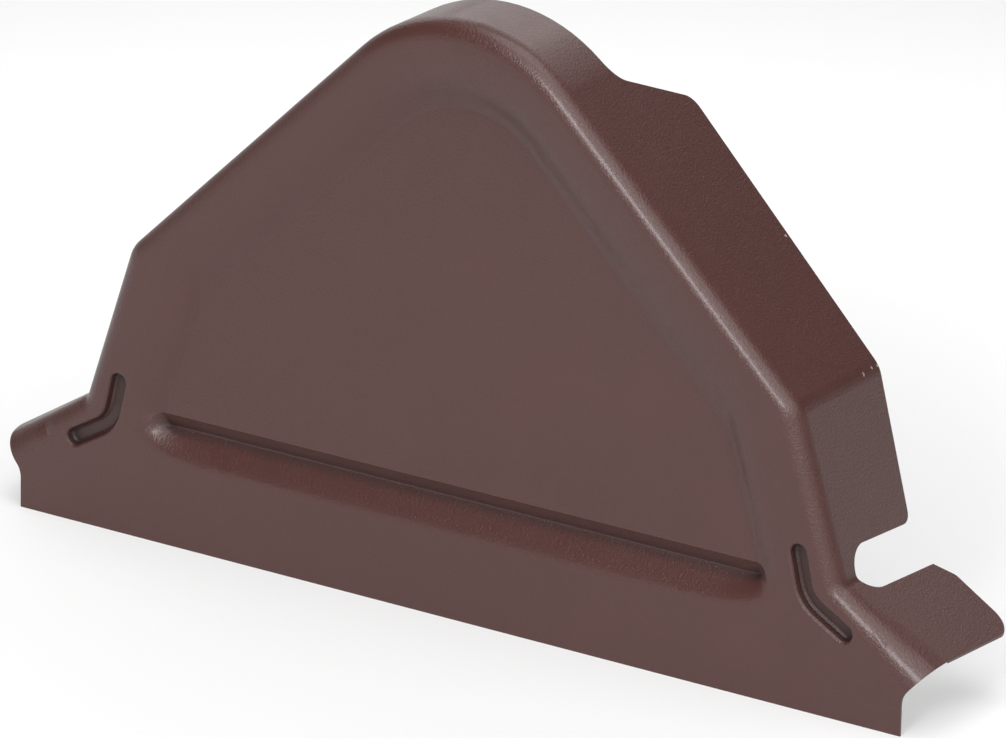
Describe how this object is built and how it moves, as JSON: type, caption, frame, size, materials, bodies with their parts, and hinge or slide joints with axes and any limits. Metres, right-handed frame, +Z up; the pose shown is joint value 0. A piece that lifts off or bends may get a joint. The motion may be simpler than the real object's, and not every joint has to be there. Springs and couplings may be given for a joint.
{
  "type": "ridge end cap",
  "caption": "Pressed sheet-steel cap that closes the end of a profiled roof ridge, with a flange, feet and notches.",
  "frame": {"origin": "middle of the bottom edge of the front, on its outer face", "axes": "+X across the ridge to the right as seen from in front, +Y back along the ridge, +Z up"},
  "size_m": [0.2542, 0.0395, 0.1412],
  "materials": {
    "painted_steel": "chocolate brown satin paint with a fine grain"
  },
  "bodies": {
    "root": {"end_cap": "painted_steel"}
  },
  "joints": []
}
